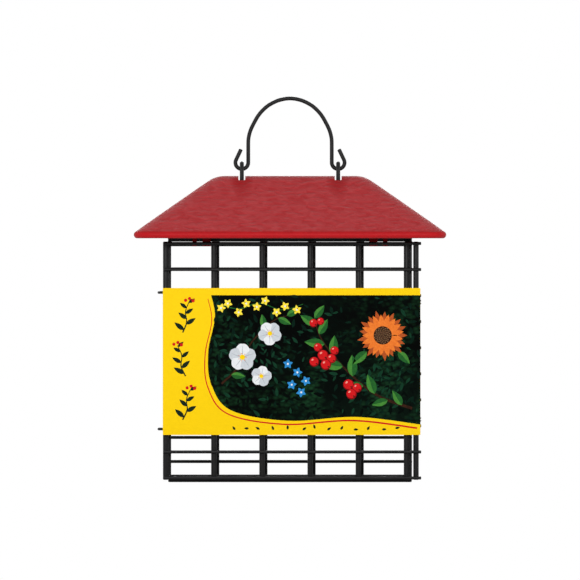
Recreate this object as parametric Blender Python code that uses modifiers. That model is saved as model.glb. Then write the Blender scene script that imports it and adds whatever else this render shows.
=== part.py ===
"""Hanging suet feeder: a welded wire cage with a hinged door, under a sheet metal roof.

Metres, +Z up, the door faces -Y. The origin lies under the middle of the roof,
level with the lowest wire.
"""

import math

import bmesh
import bpy
from mathutils import Matrix, Vector

# Wire gauges
THIN_WIRE = 0.0015
THICK_WIRE = 0.00275
BAIL_WIRE = 0.00185
EYELET_WIRE = 0.0020
RING_WIRE = 0.0012
LATCH_WIRE = 0.0010

# Fits
SEAT_GAP = 0.0003
WELD_BITE = 0.0001
CAP_WELD = 0.00001

# Wire mesh of the cage, 25.4 mm by 12.7 mm
MESH_PITCH = 0.0254
CROSS_PITCH = 0.0127
WIDTH_BAYS = 5
DEPTH_BAYS = 3
CAGE_HEIGHT = 0.1296
REAR_FIRST_ROW = 0.0108
FLOOR_LIFT = 0.00095

# Door
DOOR_LIFT = 0.0011
DOOR_TOP_DROP = 0.0028
DOOR_BARS = 6
DOOR_ROWS = 10
DOOR_ROW_INSET = 0.0010
DOOR_SIDE_LAP = 0.00205
DOOR_EDGE_STEP = 0.0050
DOOR_TAIL = 0.00115
DOOR_STUB = 0.00275

# Hinge rings
RING_INNER_RADIUS = 0.0036
RING_SIDE_SHIFT = 0.0006
RING_ROWS = (2, 7)

# Latch
LATCH_TURNS = 1.25
LATCH_COIL_PITCH = 0.00145
LATCH_ROW_DROP = 0.00235
LATCH_ARM_DROP = 0.0048
LATCH_CORNER = 0.0035

# Display card
CARD_HEIGHT = 0.0775
CARD_THICKNESS = 0.0006
CARD_STANDOFF = 0.0005
CARD_LEFT_LAP = 0.0004
CARD_RIGHT_INSET = 0.0004
CARD_DROP = 0.0004
CARD_CORNER = 0.0010

# Roof
ROOF_SIDE_OVERHANG = 0.0189
ROOF_FRONT_OVERHANG = 0.0199
ROOF_RISE = 0.0329
ROOF_SHEET = 0.0008
ROOF_CORNER = 0.0080
ROOF_CLEARANCE = 0.0017
HEM_RADIUS = 0.0017
RIDGE_LENGTH = 0.0688
RIDGE_WIDTH = 0.0016
RIDGE_SOFTENING = 0.0027
SLOT_LENGTH = 0.0160
SLOT_WIDTH = 0.0036

# Roof clips
CLIP_SHEET = 0.0008
CLIP_WIDTH = 0.0096
CLIP_WIDE_PRONG = 0.0043
CLIP_NARROW_PRONG = 0.0023
CLIP_FLANGE = 0.0080
CLIP_FRONT_DROP = 0.0015
CLIP_TONGUE_BEND = 0.0010

# Eyelets and hanging bail
EYELET_RISE = 0.0073
BAIL_HOOK_RADIUS = 0.00325
BAIL_LEG_HEIGHT = 0.0085
BAIL_ARCH_HEIGHT = 0.0250
BAIL_TIP_HEIGHT = 0.0066
BAIL_TIP_LEAN = 0.00285

# Shapes without a length
BAIL_ARCH_POWER = 1.98
THIN_SIDES = 8
THICK_SIDES = 12
RING_STEPS = 24
RING_SIDES = 8
ARCH_STEPS = 28
HOOK_STEPS = 10
COIL_STEPS = 16
CORNER_STEPS = 4
HEM_STEPS = 8
HEM_START = math.radians(255)
HEM_END = math.radians(32)
SHOULDER_STEPS = 4
CLIP_STEPS = 8
RIDGE_CORNER_SHARE = 0.95
TONGUE_SHARE = 0.8
SLOT_ROUND_SHARE = 0.2

# Places that several pieces share
THIN_R = THIN_WIRE / 2
THICK_R = THICK_WIRE / 2
WELD_STEP = THIN_WIRE - WELD_BITE
DOOR_WELD_STEP = THICK_R + THIN_R - WELD_BITE
CAGE_X = MESH_PITCH * WIDTH_BAYS / 2
CAGE_Y = MESH_PITCH * DEPTH_BAYS / 2
RAIL_X = CAGE_X + THIN_R
BOTTOM_RAIL_Z = THICK_R
TOP_RAIL_Z = CAGE_HEIGHT - THICK_R
DOOR_Y = -CAGE_Y - THICK_WIRE - SEAT_GAP
DOOR_FIRST_BAR_X = -CAGE_X - DOOR_SIDE_LAP
DOOR_EDGE_X = DOOR_FIRST_BAR_X + MESH_PITCH * (DOOR_BARS - 1) + DOOR_EDGE_STEP
DOOR_LEFT = DOOR_FIRST_BAR_X - DOOR_TAIL
DOOR_RIGHT = DOOR_EDGE_X + DOOR_STUB
DOOR_TOP = CAGE_HEIGHT - DOOR_TOP_DROP
DOOR_MIDDLE = (DOOR_LIFT + DOOR_TOP) / 2
DOOR_ROW_PITCH = (DOOR_TOP - DOOR_LIFT - 2 * DOOR_ROW_INSET) / (DOOR_ROWS - 1)
CARD_BACK_Y = DOOR_Y - DOOR_WELD_STEP - THIN_R - CARD_STANDOFF
RING_RADIUS = RING_INNER_RADIUS + RING_WIRE / 2
HINGE_X = DOOR_FIRST_BAR_X + RING_SIDE_SHIFT
HINGE_Y = CARD_BACK_Y + SEAT_GAP + RING_INNER_RADIUS + RING_WIRE
ROOF_X = CAGE_X + ROOF_SIDE_OVERHANG
ROOF_Y = CAGE_Y + ROOF_FRONT_OVERHANG
HEM_Z = DOOR_TOP + ROOF_CLEARANCE + HEM_RADIUS
ROOF_TOP = HEM_Z - HEM_RADIUS + ROOF_RISE
CLIP_X = -DOOR_FIRST_BAR_X - MESH_PITCH + THICK_R + SEAT_GAP + CLIP_WIDTH / 2
EYELET_X = MESH_PITCH
EYELET_TOP = ROOF_TOP + EYELET_RISE
BAIL_AXIS_Z = EYELET_TOP - EYELET_WIRE - SEAT_GAP - BAIL_WIRE / 2


def clear_scene():
    for item in list(bpy.data.objects):
        bpy.data.objects.remove(item, do_unlink=True)


def new_collection(name):
    made = bpy.data.collections.new(name)
    bpy.context.scene.collection.children.link(made)
    return made


def new_material(name, colour, roughness, metallic):
    made = bpy.data.materials.new(name)
    made.use_nodes = True
    shader = made.node_tree.nodes["Principled BSDF"]
    shader.inputs["Base Color"].default_value = (*colour, 1)
    shader.inputs["Roughness"].default_value = roughness
    shader.inputs["Metallic"].default_value = metallic
    return made


def place(item, collection, material, pivot=None):
    """Link an object, give it its material and, if it moves, its pivot as parent."""
    collection.objects.link(item)
    item.data.materials.append(material)
    if pivot is not None:
        item.parent = pivot
        item.matrix_parent_inverse = pivot.matrix_world.inverted()
    return item


def new_pivot(name, location, collection, parent=None):
    pivot = bpy.data.objects.new(name, None)
    pivot.location = location
    collection.objects.link(pivot)
    bpy.context.view_layer.update()
    if parent is not None:
        pivot.parent = parent
        pivot.matrix_parent_inverse = parent.matrix_world.inverted()
        bpy.context.view_layer.update()
    return pivot


def as_cutter(item, cutters):
    """Keep an operand of a Boolean out of the finished parts."""
    cutters.objects.link(item)
    item.hide_render = True
    item.display_type = "WIRE"
    return item


def mesh_object(name, bm):
    mesh = bpy.data.meshes.new(name)
    bm.to_mesh(mesh)
    bm.free()
    return bpy.data.objects.new(name, mesh)


def combine(item, operand, operation):
    step = item.modifiers.new(operation.lower(), "BOOLEAN")
    step.operation = operation
    step.solver = "EXACT"
    step.object = operand


def shade_round(item, angle=math.radians(40)):
    item.data.shade_smooth()
    item.data.set_sharp_from_angle(angle=angle)


def add_rod(bm, start, end, diameter, sides):
    """A straight wire whose flats lie at its true diameter and face along the axes."""
    start, end = Vector(start), Vector(end)
    run = end - start
    half_side = math.pi / sides
    turn = run.to_track_quat("Z", "Y").to_matrix().to_4x4()
    bmesh.ops.create_cone(
        bm,
        cap_ends=True,
        segments=sides,
        radius1=diameter / 2 / math.cos(half_side),
        radius2=diameter / 2 / math.cos(half_side),
        depth=run.length,
        matrix=Matrix.Translation((start + end) / 2) @ turn @ Matrix.Rotation(half_side, 4, "Z"),
    )


def rods(name, ends, diameter, sides):
    """One object of parallel straight wires, given as pairs of end points."""
    bm = bmesh.new()
    for start, end in ends:
        add_rod(bm, start, end, diameter, sides)
    return mesh_object(name, bm)


def spaced(count, pitch, middle=0):
    """Count places, pitch apart, centred on the middle."""
    return [middle + pitch * (i - (count - 1) / 2) for i in range(count)]


def rows_from(first, pitch, count):
    return [first + pitch * i for i in range(count)]


def welded_panel(name, uprights, cross_wires, parts, cutters, material, pivot=None):
    """Cross wires welded over uprights, as one piece."""
    panel = place(uprights, parts, material, pivot)
    panel.name = name
    combine(panel, as_cutter(cross_wires, cutters), "UNION")
    shade_round(panel)
    return panel


def door_rows():
    return rows_from(DOOR_LIFT + DOOR_ROW_INSET, DOOR_ROW_PITCH, DOOR_ROWS)


def make_rails(parts, material):
    """The four thick rails along the cage's long edges."""
    edges = {
        "front_bottom_rail": (-CAGE_Y, BOTTOM_RAIL_Z),
        "rear_bottom_rail": (CAGE_Y, BOTTOM_RAIL_Z),
        "front_top_rail": (-CAGE_Y, TOP_RAIL_Z),
        "rear_top_rail": (CAGE_Y, TOP_RAIL_Z),
    }
    for name, (y, z) in edges.items():
        rail = rods(name, [((-RAIL_X, y, z), (RAIL_X, y, z))], THICK_WIRE, THICK_SIDES)
        shade_round(place(rail, parts, material))


def post_ends(x, y):
    """An upright that stands between a bottom rail and a top rail."""
    low = THICK_WIRE + SEAT_GAP
    return (x, y, low), (x, y, CAGE_HEIGHT - low)


def make_rear_panel(parts, cutters, material):
    columns = spaced(WIDTH_BAYS + 1, MESH_PITCH)
    uprights = rods("uprights", [post_ends(x, CAGE_Y) for x in columns], THIN_WIRE, THIN_SIDES)
    y = CAGE_Y + WELD_STEP
    room = CAGE_HEIGHT - THICK_WIRE - THIN_R - REAR_FIRST_ROW
    heights = rows_from(REAR_FIRST_ROW, CROSS_PITCH, int(room / CROSS_PITCH) + 1)
    cross = [((-RAIL_X, y, z), (RAIL_X, y, z)) for z in heights]
    cross_wires = rods("rear_cross_wires", cross, THIN_WIRE, THIN_SIDES)
    welded_panel("rear_panel", uprights, cross_wires, parts, cutters, material)


def tray_heights(top_tray):
    """Heights of the cross wires and the depth wires of the floor or of the top."""
    if top_tray:
        cross = CAGE_HEIGHT - THICK_WIRE + THIN_R + SEAT_GAP
        return cross, cross + WELD_STEP
    depth = FLOOR_LIFT + THIN_R
    return depth + WELD_STEP, depth


def make_side_panel(side, name, parts, cutters, material):
    """A front corner post and two uprights, tied by cross wires on their inner side."""
    x = side * CAGE_X
    low = tray_heights(False)[1] + THIN_R + SEAT_GAP
    high = tray_heights(True)[1] - THIN_R - SEAT_GAP
    inner = spaced(DEPTH_BAYS - 1, MESH_PITCH)
    ends = [post_ends(x, -CAGE_Y)] + [((x, y, low), (x, y, high)) for y in inner]
    uprights = rods("uprights", ends, THIN_WIRE, THIN_SIDES)
    cross_x = x - side * WELD_STEP
    back = CAGE_Y - THIN_R - SEAT_GAP
    front = -CAGE_Y - THIN_R
    cross = [((cross_x, front, z), (cross_x, back, z)) for z in door_rows()[1:]]
    cross_wires = rods(name + "_cross_wires", cross, THIN_WIRE, THIN_SIDES)
    welded_panel(name, uprights, cross_wires, parts, cutters, material)


def make_tray(name, top_tray, parts, cutters, material):
    """The mesh that closes the cage's floor or its top, between the rails."""
    cross_z, depth_z = tray_heights(top_tray)
    reach_y = CAGE_Y - THICK_R - SEAT_GAP
    columns = spaced(WIDTH_BAYS + 1, MESH_PITCH)
    depth = [((x, -reach_y, depth_z), (x, reach_y, depth_z)) for x in columns]
    depth_wires = rods("depth_wires", depth, THIN_WIRE, THIN_SIDES)
    pairs = int((reach_y - THIN_R - CROSS_PITCH / 2) / CROSS_PITCH) + 1
    rows = spaced(2 * pairs, CROSS_PITCH)
    cross = [((-RAIL_X, y, cross_z), (RAIL_X, y, cross_z)) for y in rows]
    cross_wires = rods(name + "_cross_wires", cross, THIN_WIRE, THIN_SIDES)
    welded_panel(name, depth_wires, cross_wires, parts, cutters, material)


def make_door(parts, cutters, material, hinge):
    """Thick bars behind thin cross wires, which run past the latch bar as stubs."""
    columns = rows_from(DOOR_FIRST_BAR_X, MESH_PITCH, DOOR_BARS) + [DOOR_EDGE_X]
    bars = [((x, DOOR_Y, DOOR_LIFT), (x, DOOR_Y, DOOR_TOP)) for x in columns]
    uprights = rods("uprights", bars, THICK_WIRE, THICK_SIDES)
    y = DOOR_Y - DOOR_WELD_STEP
    cross = [((DOOR_LEFT, y, z), (DOOR_RIGHT, y, z)) for z in door_rows()]
    cross_wires = rods("door_cross_wires", cross, THIN_WIRE, THIN_SIDES)
    welded_panel("door_panel", uprights, cross_wires, parts, cutters, material, hinge)


def make_hinge_rings(parts, material, hinge):
    """Two loose rings round the door's first bar and the cage's corner post."""
    reach = (THIN_WIRE + RING_WIRE) / 2 + SEAT_GAP
    low_row, high_row = (door_rows()[i] for i in RING_ROWS)
    for name, z in (("hinge_ring_lower", low_row - reach), ("hinge_ring_upper", high_row + reach)):
        bpy.ops.mesh.primitive_torus_add(
            major_segments=RING_STEPS,
            minor_segments=RING_SIDES,
            major_radius=RING_RADIUS,
            minor_radius=RING_WIRE / 2,
            location=(HINGE_X, HINGE_Y, z),
        )
        ring = bpy.context.object
        ring.name = name
        for holder in list(ring.users_collection):
            holder.objects.unlink(ring)
        bpy.context.view_layer.update()
        shade_round(place(ring, parts, material, hinge))


def wire_curve(name, points, diameter):
    """A bent wire along the points, with closed ends."""
    curve = bpy.data.curves.new(name, "CURVE")
    curve.dimensions = "3D"
    curve.bevel_depth = diameter / 2
    curve.bevel_resolution = 2
    curve.use_fill_caps = True
    spline = curve.splines.new("POLY")
    spline.points.add(len(points) - 1)
    for point, place_at in zip(spline.points, points):
        point.co = (*place_at, 1)
        point.radius = 1
    return bpy.data.objects.new(name, curve)


def arc(centre, radius, start, end, steps):
    """Points of an arc in a plane, by the angle from its first axis."""
    turned = (start + (end - start) * i / steps for i in range(steps + 1))
    return [(centre[0] + radius * math.cos(a), centre[1] + radius * math.sin(a)) for a in turned]


def latch_half():
    """The latch wire from its free end, round the edge bar, to its bar's upper corner."""
    radius = THICK_R + SEAT_GAP + LATCH_WIRE / 2
    coil_top = door_rows()[RING_ROWS[1]] - LATCH_ROW_DROP - DOOR_MIDDLE
    steps = round(LATCH_TURNS * COIL_STEPS)
    points = []
    for i in range(steps + 1):
        turn = LATCH_TURNS * (i / steps - 1)
        x = DOOR_EDGE_X + radius * math.cos(math.tau * turn)
        y = DOOR_Y + radius * math.sin(math.tau * turn)
        z = coil_top - LATCH_COIL_PITCH * LATCH_TURNS * i / steps
        points.append(Vector((x, y, z)))
    rest_x = CAGE_X + THIN_R + SEAT_GAP + LATCH_WIRE / 2
    corner = Vector((rest_x, -MESH_PITCH / 2, coil_top - LATCH_ARM_DROP))
    arm = corner - points[-1]
    bend_start = corner - arm.normalized() * LATCH_CORNER
    bend_end = corner - Vector((0, 0, LATCH_CORNER))
    for i in range(CORNER_STEPS + 1):
        t = i / CORNER_STEPS
        points.append(bend_start * (1 - t) ** 2 + corner * 2 * t * (1 - t) + bend_end * t**2)
    return points


def make_latch(parts, material, pivot):
    """One wire: two eyes round the edge bar, two arms and the bar between them."""
    upper = latch_half()
    lower = [Vector((p.x, p.y, -p.z)) for p in reversed(upper)]
    middle = Vector((0, 0, DOOR_MIDDLE))
    points = [p + middle for p in upper + lower]
    place(wire_curve("latch_wire", points, LATCH_WIRE), parts, material, pivot)


def make_display_card(parts, material, hinge):
    """A flat card in front of the door, as wide as its cross wires, with rounded corners."""
    left, right = DOOR_LEFT - CARD_LEFT_LAP, DOOR_RIGHT - CARD_RIGHT_INSET
    bm = bmesh.new()
    bmesh.ops.create_cube(bm, size=1)
    bmesh.ops.scale(bm, vec=(right - left, CARD_THICKNESS, CARD_HEIGHT), verts=bm.verts)
    corners = [e for e in bm.edges if abs(e.verts[0].co.y - e.verts[1].co.y) > CARD_THICKNESS / 2]
    bmesh.ops.bevel(bm, geom=corners, offset=CARD_CORNER, segments=3, profile=0.5, affect="EDGES")
    back_y = CARD_BACK_Y - CARD_THICKNESS / 2
    shift = Vector(((left + right) / 2, back_y, DOOR_MIDDLE - CARD_DROP))
    bmesh.ops.translate(bm, vec=shift, verts=bm.verts)
    place(mesh_object("display_card", bm), parts, material, hinge)


def rounded_loop(half_x, half_y, corner, z):
    """A rectangle with round corners, counterclockwise, as a list of points."""
    points = []
    signs = ((1, 1), (-1, 1), (-1, -1), (1, -1))
    for quarter, (sx, sy) in enumerate(signs):
        centre = (sx * (half_x - corner), sy * (half_y - corner))
        first = quarter * math.pi / 2
        points += [(x, y, z) for x, y in arc(centre, corner, first, first + math.pi / 2, CORNER_STEPS)]
    return points


def slope_angle(hem_reach, flat):
    """The pitch of a roof face that rises from its hem into the ridge's rounding."""
    rise = ROOF_TOP - HEM_Z - HEM_RADIUS * math.cos(HEM_END)
    run = hem_reach - flat
    return math.atan2(rise, run) + math.asin(RIDGE_SOFTENING / math.hypot(run, rise))


def roof_angles():
    outer = HEM_RADIUS * (1 - math.sin(HEM_END))
    along = slope_angle(ROOF_X - outer, RIDGE_LENGTH / 2)
    across = slope_angle(ROOF_Y - outer, RIDGE_WIDTH / 2)
    return along, across


def softened(flat, angle, turn):
    """Half extent at a point of the rounding between a face and the flat ridge."""
    return flat + RIDGE_SOFTENING / (1 - math.cos(angle)) * math.sin(turn)


def roof_loops():
    """The rolled hem, the four faces and the softened ridge, as stacked loops."""
    loops = []
    hem_x, hem_y = ROOF_X - HEM_RADIUS, ROOF_Y - HEM_RADIUS
    for i in range(HEM_STEPS + 1):
        turn = HEM_START + (HEM_END - HEM_START) * i / HEM_STEPS
        out = HEM_RADIUS * math.sin(turn)
        z = HEM_Z + HEM_RADIUS * math.cos(turn)
        loops.append(rounded_loop(hem_x + out, hem_y + out, ROOF_CORNER + out, z))
    along, across = roof_angles()
    for i in range(SHOULDER_STEPS + 1):
        left = 1 - i / SHOULDER_STEPS
        half_x = softened(RIDGE_LENGTH / 2, along, along * left)
        half_y = softened(RIDGE_WIDTH / 2, across, across * left)
        radius = RIDGE_SOFTENING / (1 - math.cos(along))
        z = ROOF_TOP - radius * (1 - math.cos(along * left))
        corner = min(ROOF_CORNER, half_y * RIDGE_CORNER_SHARE)
        loops.append(rounded_loop(half_x, half_y, corner, z))
    return loops


def roof_skin():
    """The loops joined by quads and closed at the ridge."""
    bm = bmesh.new()
    rows = [[bm.verts.new(p) for p in loop] for loop in roof_loops()]
    for low, high in zip(rows, rows[1:]):
        for i in range(len(low)):
            j = (i + 1) % len(low)
            bm.faces.new((low[i], low[j], high[j], high[i]))
    bm.faces.new(rows[-1])
    return mesh_object("roof_shell", bm)


def slot_cutter(x):
    """A slot across the ridge with rounded ends."""
    bm = bmesh.new()
    bmesh.ops.create_cube(bm, size=1)
    bmesh.ops.scale(bm, vec=(SLOT_WIDTH, SLOT_LENGTH, ROOF_RISE), verts=bm.verts)
    uprights = [e for e in bm.edges if abs(e.verts[0].co.z - e.verts[1].co.z) > ROOF_RISE / 2]
    round_off = SLOT_WIDTH * SLOT_ROUND_SHARE
    bmesh.ops.bevel(bm, geom=uprights, offset=round_off, segments=4, profile=0.5, affect="EDGES")
    bmesh.ops.translate(bm, vec=(x, 0, ROOF_TOP), verts=bm.verts)
    return mesh_object("ridge_slot", bm)


def make_roof(parts, cutters, material):
    """A hipped roof of thin sheet, rolled in at the eaves, with a slot for each eyelet."""
    roof = place(roof_skin(), parts, material)
    sheet = roof.modifiers.new("sheet", "SOLIDIFY")
    sheet.thickness = ROOF_SHEET
    sheet.offset = -1
    for x in (-EYELET_X, EYELET_X):
        combine(roof, as_cutter(slot_cutter(x), cutters), "DIFFERENCE")
    shade_round(roof)


def strip_outline(path, thickness):
    """The outline of a bent strip, from the path of its middle."""
    points = [Vector(p) for p in path]
    sides = ([], [])
    for i, point in enumerate(points):
        before = points[max(i - 1, 0)]
        after = points[min(i + 1, len(points) - 1)]
        along = (after - before).normalized()
        across = Vector((-along.y, along.x)) * thickness / 2
        sides[0].append(point + across)
        sides[1].append(point - across)
    return sides[0] + sides[1][::-1]


def extruded_strip(name, path, thickness, x, width):
    """A strip bent along a path in Y and Z, and as wide along X as given."""
    curve = bpy.data.curves.new(name, "CURVE")
    curve.dimensions = "2D"
    curve.fill_mode = "BOTH"
    curve.extrude = width / 2
    outline = strip_outline(path, thickness)
    spline = curve.splines.new("POLY")
    spline.points.add(len(outline) - 1)
    for point, (y, z) in zip(spline.points, outline):
        point.co = (y, z, 0, 1)
    spline.use_cyclic_u = True
    flat = bpy.data.objects.new("strip_outline", curve)
    sideways = Matrix(((0, 0, 1, 0), (1, 0, 0, 0), (0, 1, 0, 0), (0, 0, 0, 1)))
    flat.matrix_world = Matrix.Translation((x, 0, 0)) @ sideways
    return curve_to_mesh(flat, name)


def curve_to_mesh(item, name):
    """The curve as a closed mesh in place, with its caps welded to its sides."""
    bpy.context.scene.collection.objects.link(item)
    bpy.context.view_layer.update()
    seen = item.evaluated_get(bpy.context.evaluated_depsgraph_get())
    mesh = bpy.data.meshes.new_from_object(seen)
    bm = bmesh.new()
    bm.from_mesh(mesh)
    bmesh.ops.remove_doubles(bm, verts=bm.verts, dist=CAP_WELD)
    bmesh.ops.recalc_face_normals(bm, faces=bm.faces)
    bm.to_mesh(mesh)
    bm.free()
    solid = bpy.data.objects.new(name, mesh)
    solid.matrix_world = item.matrix_world
    bpy.data.objects.remove(item, do_unlink=True)
    return solid


def roof_underside(y):
    """Height of the roof sheet's lower face above a place on the front or rear slope."""
    across = roof_angles()[1]
    hem_reach = ROOF_Y - HEM_RADIUS * (1 - math.sin(HEM_END))
    outer = HEM_Z + HEM_RADIUS * math.cos(HEM_END) + (hem_reach - abs(y)) * math.tan(across)
    return outer - ROOF_SHEET / math.cos(across)


def clip_paths(end, drop):
    """Paths in Y and Z of a clip's strip and of its tongue, and the top of its window."""
    rail_y = end * CAGE_Y
    reach = THICK_R + SEAT_GAP + CLIP_SHEET / 2
    leg_y = rail_y - reach
    across = roof_angles()[1]
    sink = (SEAT_GAP + CLIP_SHEET / 2) / math.cos(across)
    bend_z = roof_underside(leg_y) - sink
    flange_y = leg_y - end * CLIP_FLANGE * math.cos(across)
    flange = (flange_y, bend_z + CLIP_FLANGE * math.sin(across))
    hook = arc((rail_y, TOP_RAIL_Z - drop), reach, math.pi, math.tau, CLIP_STEPS)
    strip = [flange, (leg_y, bend_z)] + hook
    tongue_z = CAGE_HEIGHT + SEAT_GAP + CLIP_SHEET / 2
    window_top = tongue_z + CLIP_TONGUE_BEND
    bend_centre = (leg_y + CLIP_TONGUE_BEND, window_top)
    bend = arc(bend_centre, CLIP_TONGUE_BEND, math.pi, 1.5 * math.pi, CLIP_STEPS // 2)
    tongue = [(leg_y, window_top + CLIP_TONGUE_BEND)] + bend + [(rail_y, tongue_z)]
    return strip, tongue, window_top


def clip_window(name, x, width, y, top):
    """A box that parts the two prongs below the place where the tongue turns off."""
    bm = bmesh.new()
    bmesh.ops.create_cube(bm, size=1)
    bmesh.ops.scale(bm, vec=(width, CLIP_FLANGE, CLIP_FLANGE), verts=bm.verts)
    bmesh.ops.translate(bm, vec=(x, y, top - CLIP_FLANGE / 2), verts=bm.verts)
    return mesh_object(name, bm)


def make_roof_clip(name, side, end, drop, parts, cutters, material):
    """A clip under the roof: two prongs hook round a top rail and a tongue rests on it."""
    strip, tongue, window_top = clip_paths(end, drop)
    x = side * CLIP_X
    window = CLIP_WIDTH - CLIP_WIDE_PRONG - CLIP_NARROW_PRONG
    window_x = side * (CLIP_X + CLIP_WIDTH / 2 - CLIP_NARROW_PRONG - window / 2)
    clip = place(extruded_strip(name, strip, CLIP_SHEET, x, CLIP_WIDTH), parts, material)
    opening = clip_window(name + "_window", window_x, window, end * CAGE_Y, window_top)
    combine(clip, as_cutter(opening, cutters), "DIFFERENCE")
    tongue_width = window - 2 * SEAT_GAP
    tongue_sheet = CLIP_SHEET * TONGUE_SHARE
    finger = extruded_strip(name + "_tongue", tongue, tongue_sheet, window_x, tongue_width)
    combine(clip, as_cutter(finger, cutters), "UNION")
    shade_round(clip)


def make_eyelet(name, x, parts, material):
    """An upright loop of wire that stands on the top mesh and passes through its slot."""
    half = CROSS_PITCH / 2 - THIN_R - SEAT_GAP - EYELET_WIRE / 2
    foot = tray_heights(True)[0] - THIN_R
    crown_z = EYELET_TOP - EYELET_WIRE / 2 - half
    crown = arc((0, crown_z), half, 0, math.pi, HOOK_STEPS)
    points = [(x, half, foot)] + [(x, y, z) for y, z in crown] + [(x, -half, foot)]
    place(wire_curve(name, points, EYELET_WIRE), parts, material)


def bail_half():
    """The bail from its tip to the middle of its arch, at +X, in X and Z."""
    leg_x = EYELET_X - BAIL_HOOK_RADIUS
    tip_x = EYELET_X + BAIL_HOOK_RADIUS - BAIL_TIP_LEAN
    centre_z = BAIL_AXIS_Z + BAIL_HOOK_RADIUS
    points = [(tip_x, centre_z + BAIL_TIP_HEIGHT)]
    points += arc((EYELET_X, centre_z), BAIL_HOOK_RADIUS, 0, -math.pi, HOOK_STEPS)
    spring_z = centre_z + BAIL_LEG_HEIGHT
    quarter = ARCH_STEPS // 2
    for i in range(quarter + 1):
        turn = math.pi / 2 * i / quarter
        x = leg_x * math.cos(turn) ** (2 / BAIL_ARCH_POWER)
        z = spring_z + BAIL_ARCH_HEIGHT * math.sin(turn) ** (2 / BAIL_ARCH_POWER)
        points.append((x, z))
    return points


def make_bail(parts, material, pivot):
    """The hanging wire: an arch with a hook at each foot."""
    half = bail_half()
    left = [(-x, z) for x, z in half[:-1]]
    points = [(x, 0, z) for x, z in left + half[::-1]]
    place(wire_curve("hanging_bail", points, BAIL_WIRE), parts, material, pivot)


def main():
    clear_scene()
    parts = new_collection("suet_feeder")
    cutters = new_collection("cutters")
    black = new_material("black_coated_wire", (0.012, 0.012, 0.013), 0.32, 0)
    red = new_material("red_painted_sheet", (0.36, 0.022, 0.026), 0.45, 0)
    red_clip = new_material("red_painted_clip", (0.42, 0.02, 0.022), 0.4, 0)
    board = new_material("printed_card", (0.95, 0.66, 0.01), 0.5, 0)

    hinge = new_pivot("door_hinge", (HINGE_X, HINGE_Y, DOOR_MIDDLE), parts)
    latch_pivot = new_pivot("latch_pivot", (DOOR_EDGE_X, DOOR_Y, DOOR_MIDDLE), parts, hinge)
    bail_pivot = new_pivot("bail_pivot", (0, 0, BAIL_AXIS_Z), parts)

    make_rails(parts, black)
    make_rear_panel(parts, cutters, black)
    make_side_panel(-1, "left_side_panel", parts, cutters, black)
    make_side_panel(1, "right_side_panel", parts, cutters, black)
    make_tray("floor_panel", False, parts, cutters, black)
    make_tray("top_panel", True, parts, cutters, black)
    make_door(parts, cutters, black, hinge)
    make_hinge_rings(parts, black, hinge)
    make_latch(parts, black, latch_pivot)
    make_display_card(parts, board, hinge)
    make_roof(parts, cutters, red)
    for end, end_name, drop in ((-1, "front", CLIP_FRONT_DROP), (1, "rear", 0)):
        for side, side_name in ((-1, "left"), (1, "right")):
            name = f"roof_clip_{end_name}_{side_name}"
            make_roof_clip(name, side, end, drop, parts, cutters, red_clip)
    make_eyelet("eyelet_left", -EYELET_X, parts, black)
    make_eyelet("eyelet_right", EYELET_X, parts, black)
    make_bail(parts, black, bail_pivot)


main()
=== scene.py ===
"""Looks of the hanging suet feeder: smooth coated wire, hammered red paint and a printed card.

Metres, +Z up, the door faces -Y, in the same frame as the CAD model. Only the card's print is
drawn in millimetres.
"""

import math
import random

import bmesh
import bpy
from mathutils import Matrix, Vector, noise


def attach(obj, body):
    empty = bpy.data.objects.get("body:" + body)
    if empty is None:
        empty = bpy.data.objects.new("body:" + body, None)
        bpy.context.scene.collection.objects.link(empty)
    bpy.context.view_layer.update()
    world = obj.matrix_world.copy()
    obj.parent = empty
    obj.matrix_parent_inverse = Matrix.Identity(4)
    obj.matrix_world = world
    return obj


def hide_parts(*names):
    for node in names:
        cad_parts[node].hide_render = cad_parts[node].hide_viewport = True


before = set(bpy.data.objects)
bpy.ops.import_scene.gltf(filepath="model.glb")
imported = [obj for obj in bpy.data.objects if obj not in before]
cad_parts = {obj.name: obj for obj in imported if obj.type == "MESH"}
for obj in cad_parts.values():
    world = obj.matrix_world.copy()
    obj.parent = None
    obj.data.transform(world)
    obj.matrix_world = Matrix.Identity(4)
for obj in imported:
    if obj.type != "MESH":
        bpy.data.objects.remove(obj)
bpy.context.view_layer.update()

# Wire radii: the CAD gauges with the coating's thickness added
THIN = 0.00083
THICK = 0.00146
BAIL = 0.00103
EYELET = 0.00108
RING = 0.00073
LATCH = 0.00057
# Sides of the tube that stands for each wire
SIDES = {THIN: 20, THICK: 28, BAIL: 22, EYELET: 22, RING: 18, LATCH: 16}
# The coating softens a cut end over this share of the radius
END_SOFT = 0.4

# Edges that bend by more than these degrees are drawn sharp
SHARP = 42
SHARP_ROOF = 40
SHARP_PRINT = 30

# Cage: five bays wide and three deep, between four thick rails
PITCH = 0.0254
ROW = PITCH / 2
CAGE_X = 0.0635
CAGE_Y = 0.0381
RAIL_X = 0.06425
RAIL_Z = (0.001375, 0.128225)
COLUMNS = [PITCH * (i - 2.5) for i in range(6)]
REAR_ROWS = [0.0108 + ROW * i for i in range(10)]
TRAY_ROWS = [ROW * (i - 2.5) for i in range(6)]
SIDE_COLUMNS = (-PITCH / 2, PITCH / 2)
SIDE_COLUMN_ENDS = (0.0022, 0.1288)
SIDE_WIRE_BACK = CAGE_Y + 0.0005
# Heights of a tray's cross wires and of its wires from front to rear
FLOOR_HEIGHTS = (0.0031, 0.0017)
TOP_HEIGHTS = (0.1279, 0.1293)

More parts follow.
